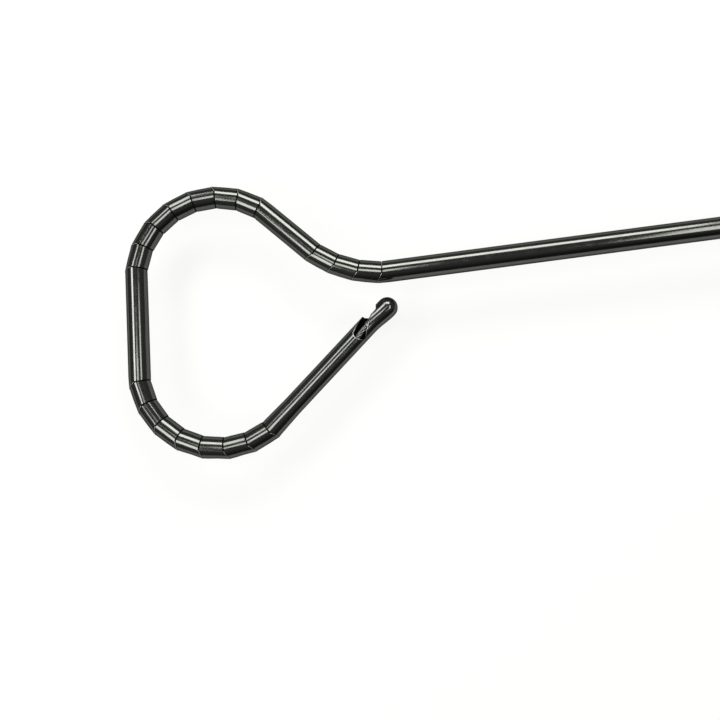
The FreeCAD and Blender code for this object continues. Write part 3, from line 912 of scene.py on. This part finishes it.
    def link(self, index: int) -> None:
        """Builds one link and dresses it.

        Args:
            index: its number along the chain.
        """
        name = self.names[index]
        near, far = self.joints[index], self.joints[index + 1]
        axis = heading_vector(near.after)
        work = bmesh.new()
        for radius in (self.radius, self.bore):
            round_surface(work, radius, near.place - axis * self.overlength,
                          far.place + axis * self.overlength, self.segments)
        self.cut_seat(work, near, Keep.BEYOND)
        self.cut_seat(work, far, Keep.BEFORE)
        for joint in (near, far):
            self.close_seat(work, joint, near.place, axis)
        bmesh.ops.recalc_face_normals(work, faces=work.faces[:])
        piece = place_mesh(f"{name}_tube", work,
                           Finishes.steel.material(name, near.place, near.after))
        surfaces = self.surfaces(near.place, axis, self.bore)
        dress_parts(piece, surfaces, self.sorter(far))
        round_normals(piece, surfaces, self.eased(near, far))
        finish_piece(piece, name, "link_steel", name)

    def build(self) -> None:
        """Builds every link apart from the tip."""
        for index in range(len(self.names) - 1):
            self.link(index)


@dataclass
class Shaft:
    """The straight tube from the first joint to the handle."""

    chain: Chain
    length: float = 348.0
    bore: float = 1.7

    def build(self) -> None:
        """Builds the shaft with its seat at the far end."""
        chain = self.chain
        joint = chain.joints[0]
        work = bmesh.new()
        for radius in (chain.radius, chain.bore):
            round_surface(work, radius, AXIS_X * -chain.overlength, AXIS_X * self.length,
                          chain.segments)
        chain.cut_seat(work, joint, Keep.BEFORE)
        chain.close_seat(work, joint, joint.place, AXIS_X)
        bmesh.ops.bridge_loops(work, edges=[edge for edge in work.edges if edge.is_boundary])
        bmesh.ops.recalc_face_normals(work, faces=work.faces[:])
        piece = place_mesh("shaft_main", work, Finishes.steel.material("shaft_tube"))
        surfaces = chain.surfaces(Vector(), AXIS_X, self.bore)
        dress_parts(piece, surfaces, chain.sorter(joint))
        round_normals(piece, surfaces, chain.eased(before=joint))
        finish_piece(piece, "shaft_and_handle", "tube_steel", "shaft_tube")


@dataclass
class Tip:
    """The last length: a tapered tube with an oblique window and a bulb set to one side."""

    chain: Chain
    radius: float = 2.275
    taper: float = 7.5
    bulb_radius: float = 2.4
    bulb_setback: float = 8.2
    bulb_offset: float = 0.45
    cavity_radius: float = 1.65
    cavity_start: float = 28.9
    cavity_end: float = 34.6
    pocket_radius: float = 1.32
    pocket_end: float = 36.25
    window_length: float = 7.2
    window_width: float = 2.5
    window_depth: float = 5.0
    window_centre: float = 31.6
    window_lean: float = math.radians(24.0)
    window_facing: float = math.radians(27.0)
    scoop_radius: float = 2.1
    scoop_depth: float = 12.0
    scoop: tuple[float, float] = (34.9, 2.9)
    scoop_front: float = 0.3
    scoop_margin: float = 0.05
    skin: float = 0.012
    rim: float = 0.16
    rim_margin: float = 1.1
    round_rim: float = 0.35
    sharp: float = math.radians(30.0)
    crimp_start: float = 31.7
    steps: int = 14

    @property
    def matrix(self) -> Matrix:
        """The tip's own place and direction.

        Returns:
            The matrix from the tip's frame.
        """
        joint = self.chain.joints[-1]
        turn = Matrix.Rotation(math.radians(joint.after), 4, "Z")
        return Matrix.Translation(joint.place) @ turn

    @property
    def ball(self) -> float:
        """Where the bulb's round end has its centre, along the tip."""
        return self.chain.tip - self.bulb_radius

    def swell(self, along: float) -> float:
        """How far the bulb has grown at a place along the tip.

        Args:
            along: the place.

        Returns:
            The share, from 0 to 1.
        """
        start = self.chain.tip - self.bulb_setback
        share = min(max((along - start) / (self.ball - start), 0.0), 1.0)
        return share * share * (3 - 2 * share)

    def width_at(self, along: float) -> float:
        """The outer radius at a place along the tip.

        Args:
            along: the place.

        Returns:
            The radius.
        """
        if along < self.taper:
            narrowing = self.radius - self.chain.radius
            return self.chain.radius + narrowing * max(along, 0.0) / self.taper
        if along < self.ball:
            return self.radius + (self.bulb_radius - self.radius) * self.swell(along)
        return math.sqrt(max(self.bulb_radius ** 2 - (along - self.ball) ** 2, 0.0))

    def gap(self, place: Vector) -> float:
        """How far a point in the tip's own frame lies outside its outer surface.

        Args:
            place: the point.

        Returns:
            The gap, less than nothing inside.
        """
        side = math.hypot(place.y + self.bulb_offset * self.swell(place.x), place.z)
        if place.x > self.ball:
            return math.hypot(place.x - self.ball, side) - self.bulb_radius
        return side - self.width_at(place.x)

    def from_scoop(self, place: Vector) -> float:
        """How far a point in the tip's own frame lies from the scoop's axis."""
        return math.hypot(place.x - self.scoop[0], place.y - self.scoop[1])

    def turned(self, outline: Sequence[tuple[float, float]]) -> BMesh:
        """Turns an outline about the tip's own axis.

        Args:
            outline: places along the axis and radii.

        Returns:
            The surface.
        """
        work = bmesh.new()
        corners = [work.verts.new((along, radius, 0.0)) for along, radius in outline]
        for ends in zip(corners, corners[1:]):
            work.edges.new(ends)
        bmesh.ops.spin(work, geom=everything(work), cent=(0.0, 0.0, 0.0), axis=AXIS_X,
                       angle=2 * math.pi, steps=self.chain.segments, use_merge=True)
        bmesh.ops.remove_doubles(work, verts=work.verts[:], dist=MERGE)
        return work

    def outside(self) -> BMesh:
        """The outer surface, open at the seat.

        Returns:
            The surface.
        """
        start = self.chain.tip - self.bulb_setback
        growth = [start + (self.ball - start) * step / self.steps for step in range(self.steps + 1)]
        places = [-self.chain.overlength, 0.0, self.taper, *growth]
        outline = [(along, self.width_at(along)) for along in places]
        for step in range(1, self.steps + 1):
            angle = math.radians(90 * step / self.steps)
            outline.append((self.ball + self.bulb_radius * math.sin(angle),
                            self.bulb_radius * math.cos(angle)))
        work = self.turned(outline)
        for vertex in work.verts:
            vertex.co.y -= self.bulb_offset * self.swell(vertex.co.x)
        return work

    def inside(self) -> BMesh:
        """The bore, the cavity behind the window and the ferrule's pocket.

        Returns:
            The surface.
        """
        return self.turned([(-self.chain.overlength, self.chain.bore),
                            (self.cavity_start, self.chain.bore),
                            (self.cavity_start, self.cavity_radius),
                            (self.cavity_end, self.cavity_radius),
                            (self.cavity_end, self.pocket_radius),
                            (self.pocket_end, self.pocket_radius), (self.pocket_end, 0.0)])

    def window(self) -> BMesh:
        """The oblique slot that opens the cavity.

        Returns:
            The slot's cutter.
        """
        work = bmesh.new()
        half = self.window_width / 2
        bmesh.ops.create_cone(work, cap_ends=True, segments=64, radius1=half, radius2=half,
                              depth=self.window_depth)
        bmesh.ops.translate(work, vec=AXIS_Z * (self.window_depth / 2), verts=work.verts[:])
        for vertex in work.verts:
            if abs(vertex.co.x) > 1e-5:
                vertex.co.x += math.copysign(self.window_length / 2 - half, vertex.co.x)
        turn = Matrix.Rotation(-self.window_facing, 4, "X")
        lean = Matrix.Rotation(self.window_lean, 4, "Z")
        place = Matrix.Translation(AXIS_X * self.window_centre)
        bmesh.ops.transform(work, matrix=place @ turn @ lean, verts=work.verts[:])
        return work

    def scoop_tool(self) -> BMesh:
        """The round cutter that leaves the scooped neck and the pointed lip of the wall.

        Returns:
            The cutter.
        """
        work = bmesh.new()
        bmesh.ops.create_cone(work, cap_ends=True, segments=128, radius1=self.scoop_radius,
                              radius2=self.scoop_radius, depth=self.scoop_depth,
                              matrix=Matrix.Translation((*self.scoop, 0.0)))
        return work

    def tube(self) -> BMesh:
        """The tip's walls with their seat, closed, before the window and the scoop are cut.

        Returns:
            The mesh in its place.
        """
        joint = self.chain.joints[-1]
        work = self.outside()
        inner = self.inside()
        spare = bpy.data.meshes.new("tip_inside")
        inner.to_mesh(spare)
        inner.free()
        work.from_mesh(spare)
        bpy.data.meshes.remove(spare)
        bmesh.ops.transform(work, matrix=self.matrix, verts=work.verts[:])
        self.chain.cut_seat(work, joint, Keep.BEYOND)
        self.chain.close_seat(work, joint, joint.place, heading_vector(joint.after))
        bmesh.ops.recalc_face_normals(work, faces=work.faces[:])
        return work

    def soften(self, work: BMesh) -> None:
        """Rounds the scoop's front rim and bevels the other cut rims.

        Args:
            work: the carved tip.
        """
        back = self.matrix.inverted()
        rims, rounded = [], []
        for edge in work.edges:
            ends = [back @ vertex.co for vertex in edge.verts]
            if (edge.calc_face_angle(0.0) > self.sharp
                    and all(end.x > self.taper and abs(self.gap(end)) < ON_SURFACE
                            for end in ends)):
                on_scoop = all(self.from_scoop(end) < self.scoop_radius + ON_SURFACE
                               and end.x > self.scoop[0] + self.scoop_front for end in ends)
                (rounded if on_scoop else rims).append(edge)
        for edges, width, steps in ((rounded, self.round_rim, 4), (rims, self.rim, 2)):
            bevel_edges(work, [edge for edge in edges if edge.is_valid], width, steps)

    def build(self) -> None:
        """Builds the tip and dresses it."""
        joint = self.chain.joints[-1]
        work = self.tube()
        cutters = [self.window(), self.scoop_tool()]
        for cutter in cutters:
            bmesh.ops.transform(cutter, matrix=self.matrix, verts=cutter.verts[:])
            bmesh.ops.recalc_face_normals(cutter, faces=cutter.faces[:])
        work = carved(work, cutters)
        self.soften(work)
        piece = place_mesh("tip_carved", work,
                           Finishes.steel.material("tip_bar", joint.place, joint.after))
        surfaces = self.surfaces()
        back = self.matrix.inverted()
        seat = self.chain.sorter()
        dress_parts(piece, surfaces,
                    lambda middle, gap: self.sort(back @ middle, gap, seat(middle, gap)))
        round_normals(piece, surfaces, self.chain.eased(beyond=joint))
        finish_piece(piece, "tip_bar", "link_steel", "tip_bar")

    def crimp(self) -> None:
        """Builds the cable's crimped end, pressed narrow in two places, seated in the pocket."""
        seat, end = self.cavity_end, self.pocket_end - 0.1
        pressed = [(0.0, 0.0), (0.0, 0.82), (0.15, 0.98), (0.7, 1.0), (0.95, 0.84), (1.35, 0.84),
                   (1.6, 1.06), (2.3, 1.08)]
        outline = [(self.crimp_start + along, radius) for along, radius in pressed]
        work = self.turned(outline + [(seat - 0.1, 1.28), (seat + 0.1, 1.3), (end, 1.3),
                                      (end, 0.0)])
        bmesh.ops.transform(work, matrix=self.matrix, verts=work.verts[:])
        bmesh.ops.recalc_face_normals(work, faces=work.faces[:])
        joint = self.chain.joints[-1]
        material = Finishes.cable.material("cable_ferrule", joint.place, joint.after)
        piece = place_mesh("cable_crimp", work, material, weighted=True)
        finish_piece(piece, "tip_bar", "cable_steel", "cable_ferrule")

    def sort(self, place: Vector, gap: float, at_seat: Part) -> Part:
        """Which part of the tip's surface a face belongs to: outside, a bright rim that is partly a
        painted glint, or painted shade in the bore and cavity.

        Args:
            place: the face's middle in the tip's own frame.
            gap: how far it lies outside the outer surface.
            at_seat: what holds for it near the seat.

        Returns:
            The part.
        """
        if place.x < self.taper:
            return at_seat
        across = self.from_scoop(place)
        on_scoop = (across < self.scoop_radius + self.scoop_margin
                    and math.hypot(place.y, place.z) > self.cavity_radius + ON_SURFACE)
        if gap > -self.skin or on_scoop:
            return Part.OUTSIDE
        # Cut rims get the brighter colour that is partly a painted glint; deeper faces in the bore
        # and cavity get painted shade.
        if gap > -self.rim_margin * self.rim:
            bright = across > self.scoop_radius + self.round_rim or place.x < self.scoop[0]
            return Part.EDGE if bright else Part.OUTSIDE
        return Part.PAINTED_SHADE

    def surfaces(self) -> Surfaces:
        """Measures points against the tip's outer surface, the scoop and the inner surfaces.

        Returns:
            A function that measures one point.
        """
        back = self.matrix.inverted()
        turn = self.matrix.to_3x3()
        step = 0.02

        def measure(point: Vector) -> list[tuple[Vector, float]]:
            """Measures one point.

            Args:
                point: the point.

            Returns:
                Each surface's outward direction there and the gap to it.
            """
            place = back @ point
            slopes = [self.gap(place + way * step) - self.gap(place - way * step)
                      for way in (AXIS_X, AXIS_Y, AXIS_Z)]
            aside = Vector((place.x - self.scoop[0], place.y - self.scoop[1], 0.0))
            out = Vector((0.0, place.y, place.z))
            inner = (self.chain.bore, self.cavity_radius, self.pocket_radius)
            return [(turn @ Vector(slopes).normalized(), self.gap(place)),
                    (turn @ aside.normalized(), aside.length - self.scoop_radius),
                    *((turn @ out.normalized(), out.length - radius) for radius in inner)]

        return measure


@dataclass
class Cable:
    """The stranded cable through the chain, in lengths that each bend about one joint."""

    chain: Chain
    start: float = 30.7
    rod_part: float = 15.0
    end: float = 33.15
    near: float = 5.4
    last_straight: float = 5.0
    bend_half: float = 1.5
    lay_radius: float = 0.53
    strand_radius: float = 0.265
    pitch: float = 9.0
    strands: int = 6

    def route(self) -> list[Vector]:
        """The cable's middle line, from a smooth curve through points at the joints.

        Returns:
            The line's points, in millimetres.
        """
        joints = self.chain.joints
        points = [AXIS_X * along for along in (self.start, self.rod_part, self.near)]
        for joint, after in zip(joints, joints[1:]):
            points.append(joint.place)
            span = after.place - joint.place
            if span.length > 2 * self.near:
                step = span.normalized() * self.near
                points += [joint.place + step, after.place - step]
        last = joints[-1]
        points += [last.place + heading_vector(last.after) * along
                   for along in (0.0, self.near, self.end - self.last_straight, self.end)]
        curve = bpy.data.curves.new("cable_route", "CURVE")
        curve.dimensions = "3D"
        spline = curve.splines.new("NURBS")
        spline.points.add(len(points) - 1)
        for slot, point in zip(spline.points, points):
            slot.co = (*point, 1.0)
        spline.order_u = 4
        spline.use_endpoint_u = True
        spline.resolution_u = 12
        mesh = curve_mesh(curve)
        line = [vertex.co.copy() for vertex in mesh.vertices]
        bpy.data.meshes.remove(mesh)
        return line

    def lengths(self, line: Sequence[Vector]) -> list[tuple[int, int]]:
        """Splits the line at the middle of every link.

        Args:
            line: the middle line.

        Returns:
            The first and last point of each length, the rod's own part first.
        """
        joints = self.chain.joints
        marks = [AXIS_X * self.rod_part]
        marks += [(joint.place + after.place) / 2 for joint, after in zip(joints, joints[1:])]
        nearest = [min(range(len(line)), key=lambda number: (line[number] - mark).length)
                   for mark in marks]
        cuts = [0, *nearest, len(line) - 1]
        return list(zip(cuts, cuts[1:]))

    def lay_strands(self, name: str, line: Sequence[Vector], first: int,
                    last: int) -> bpy.types.Object:
        """Lays the strands along a part of the line.

        Args:
            name: the piece's name.
            line: the middle line.
            first: its first point.
            last: its last point.

        Returns:
            The piece.
        """
        along = [0.0]
        for here, there in zip(line, line[1:]):
            along.append(along[-1] + (there - here).length)
        curve = bpy.data.curves.new(name, "CURVE")
        curve.dimensions = "3D"
        curve.bevel_depth = self.strand_radius * MILLIMETRE
        curve.bevel_resolution = 2
        curve.use_fill_caps = True
        for strand in range(self.strands + 1):
            reach = self.lay_radius if strand else 0.0
            spline = curve.splines.new("POLY")
            spline.points.add(last - first)
            for slot, number in zip(spline.points, range(first, last + 1)):
                way = line[min(number + 1, len(line) - 1)] - line[max(number - 1, 0)]
                side = AXIS_Z.cross(way.normalized())
                turn = 2 * math.pi * (along[number] / self.pitch + strand / self.strands)
                offset = (side * math.cos(turn) + AXIS_Z * math.sin(turn)) * reach
                slot.co = (*((line[number] + offset) * MILLIMETRE), 1.0)
        mesh = curve_mesh(curve)
        mesh.name = name
        mesh.materials.clear()
        mesh.materials.append(Finishes.cable.material(name))
        mesh.shade_smooth()
        log.info("%s: %d faces", name, len(mesh.polygons))
        return add_object(name, mesh)

    def build(self) -> None:
        """Lays every length, the first on the pull rod and the others across their joints."""
        line = self.route()
        for number, (first, last) in enumerate(self.lengths(line)):
            piece = self.lay_strands(f"cable_length_{number}", line, first, last)
            if number == 0:
                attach(piece, "pull_rod")
            else:
                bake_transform(piece)
            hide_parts("tension_cable")


@dataclass(frozen=True)
class Lamp:
    """One rectangular lamp, placed by the camera's own directions, in degrees from its back."""

    name: str
    right: float
    up: float
    wide: float
    tall: float
    strength: float


@dataclass
class Studio:
    """The floor, the dark surrounding, the lamps and the camera."""

    eye: Vector = field(default_factory=lambda: Vector((-3.13, -43.03, 190.13)))
    right: Vector = field(default_factory=lambda: Vector((0.99155, -0.12434, -0.03701)))
    up: Vector = field(default_factory=lambda: Vector((0.12793, 0.98454, 0.11969)))
    back: Vector = field(default_factory=lambda: Vector((0.02155, -0.12341, 0.99212)))
    lens: float = 42.5
    middle: Vector = field(default_factory=lambda: Vector((-0.02, 0.0, 0.0)))
    lamp_distance: float = 0.9
    floor_drop: float = 0.2
    floor_half: float = 6000.0
    floor_white: float = 1.05
    floor_share: float = 0.8
    floor_dimming: float = 0.5
    dome_radius: float = 1600.0
    dome_toward: tuple[float, float] = (0.5, -0.866)
    dome_span: tuple[float, float] = (0.4, 0.92)
    dome_light: float = 0.13
    dome_dark: float = 0.035
    lamps: tuple[Lamp, ...] = (
        Lamp("window_above", 3.0, 51.0, 36.0, 22.0, 5.4),
        Lamp("window_upper_left", -27.0, 42.0, 10.0, 26.0, 4.4),
        Lamp("window_left", -37.0, 13.0, 15.0, 20.0, 6.0),
        Lamp("window_low_left", -31.0, -18.0, 22.0, 22.0, 4.4),
        Lamp("window_right", 29.0, 5.0, 13.0, 30.0, 3.4),
        Lamp("lamp_centre", -6.0, 5.0, 16.0, 18.0, 3.9),
    )

    @staticmethod
    def facing(across: Vector, up: Vector, back: Vector, place: Vector) -> Matrix:
        """The matrix of a camera or lamp from its own directions and its place in metres."""
        return Matrix.Translation(place) @ Matrix((across, up, back)).transposed().to_4x4()

    def camera(self) -> None:
        """Sets the camera at the photograph's viewing angle."""
        data = bpy.data.cameras.new("photo_camera")
        data.lens = self.lens
        data.sensor_width = 36.0
        data.clip_start = 0.005
        data.clip_end = 20.0
        camera = add_object("photo_camera", data)
        camera.matrix_world = self.facing(self.right, self.up, self.back, self.eye * MILLIMETRE)
        bpy.context.scene.camera = camera

    def lamp(self, lamp: Lamp) -> None:
        """Adds one lamp that faces the loop.

        Args:
            lamp: its place, size and strength.
        """
        data = bpy.data.lights.new(lamp.name, "AREA")
        data.shape = "RECTANGLE"
        data.size, data.size_y = (2 * self.lamp_distance * math.tan(math.radians(angle / 2))
                                  for angle in (lamp.wide, lamp.tall))
        data.energy = lamp.strength * math.pi * data.size * data.size_y
        angle = math.radians(math.hypot(lamp.right, lamp.up))
        aside = (self.right * lamp.right + self.up * lamp.up).normalized()
        away = (self.back * math.cos(angle) + aside * math.sin(angle)).normalized()
        across = (self.right - away * self.right.dot(away)).normalized()
        light = add_object(lamp.name, data)
        light.matrix_world = self.facing(across, away.cross(across), away,
                                         self.middle + away * self.lamp_distance)
        light.visible_camera = False

    def floor(self) -> None:
        """Lays the pale floor, white to the camera and half as bright in the steel."""
        material = bpy.data.materials.new("pale_floor")
        tree = Tree.of(material)
        lit = tree.add("ShaderNodeBsdfDiffuse", {"Color": (0.92, 0.92, 0.915, 1.0)})
        rays = tree.add("ShaderNodeLightPath").outputs
        seen = tree.maths("MAXIMUM", rays["Is Camera Ray"], rays["Is Glossy Ray"])
        seen = tree.maths("MAXIMUM", seen, rays["Is Transmission Ray"])
        dimmed = tree.maths("MULTIPLY", rays["Is Glossy Ray"],
                            self.floor_dimming * self.floor_white)
        white = {"Color": (1.0, 1.0, 0.99, 1.0),
                 "Strength": tree.maths("SUBTRACT", self.floor_white, dimmed)}
        glow = tree.add("ShaderNodeEmission", white)
        share = tree.maths("MULTIPLY", seen, self.floor_share)
        mixed = tree.add("ShaderNodeMixShader", {0: share, 1: lit.outputs[0], 2: glow.outputs[0]})
        tree.add("ShaderNodeOutputMaterial", {"Surface": mixed.outputs[0]})
        work = bmesh.new()
        bmesh.ops.create_grid(work, x_segments=1, y_segments=1, size=self.floor_half)
        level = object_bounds()[0].z / MILLIMETRE - self.floor_drop
        bmesh.ops.translate(work, vec=AXIS_Z * level, verts=work.verts[:])
        place_mesh("floor", work, material)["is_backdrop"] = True

    def dome(self) -> None:
        """Hangs the surrounding that the steel mirrors, darkest on the camera's lower right."""
        material = bpy.data.materials.new("dark_surrounding")
        tree = Tree.of(material)
        place = tree.add("ShaderNodeTexCoord").outputs["Object"]
        unit = tree.add("ShaderNodeVectorMath", {0: place}, operation="NORMALIZE").outputs[0]
        right, up = self.dome_toward
        darkest = (self.right * right + self.up * up).normalized()
        toward = tree.add("ShaderNodeVectorMath", {0: unit, 1: darkest}, operation="DOT_PRODUCT")
        strength = tree.spread(toward.outputs["Value"], *self.dome_span, self.dome_light,
                               self.dome_dark)
        glow = tree.add("ShaderNodeEmission",
                        {"Color": (1.0, 1.0, 0.96, 1.0), "Strength": strength})
        tree.add("ShaderNodeOutputMaterial", {"Surface": glow.outputs[0]})
        work = bmesh.new()
        bmesh.ops.create_uvsphere(work, u_segments=48, v_segments=24, radius=self.dome_radius)
        dome = place_mesh("dark_surrounding", work, material)
        dome.visible_camera = False
        dome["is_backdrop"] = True

    def world(self) -> None:
        """Makes the background pale where nothing stands before it."""
        world = bpy.data.worlds.new("pale_background")
        tree = Tree.of(world)
        pale = {"Color": (0.97, 0.97, 0.965, 1.0), "Strength": 1.0}
        glow = tree.add("ShaderNodeBackground", pale)
        tree.add("ShaderNodeOutputWorld", {"Surface": glow.outputs[0]})
        bpy.context.scene.world = world

    def build(self) -> None:
        """Sets the whole studio."""
        bpy.context.scene.view_settings.view_transform = "Standard"
        self.camera()
        self.floor()
        self.dome()
        self.world()
        for lamp in self.lamps:
            self.lamp(lamp)


def dress_nodes(chain: Chain) -> None:
    """Gives every CAD node its finish.

    Args:
        chain: the links, whose marks run along their own axes.
    """
    finishes = {name: finish for finish, names in NODE_FINISHES.items() for name in names}
    joints = dict(zip(chain.names, chain.joints))
    for name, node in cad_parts.items():
        joint = joints.get(name)
        own = (joint.place, joint.after) if joint else ()
        material = finishes.get(name, Finishes.steel).material(name, *own)
        for slot in node.material_slots:
            slot.material = material


def main() -> None:
    """Builds the studio and every sub-assembly in order."""
    logging.basicConfig(level=logging.INFO, format="%(name)s %(message)s")
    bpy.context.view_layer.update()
    Studio().build()
    chain = Chain()
    dress_nodes(chain)
    Shaft(chain).build()
    chain.build()
    tip = Tip(chain)
    tip.build()
    tip.crimp()
    Cable(chain).build()


if __name__ == "__main__":
    main()
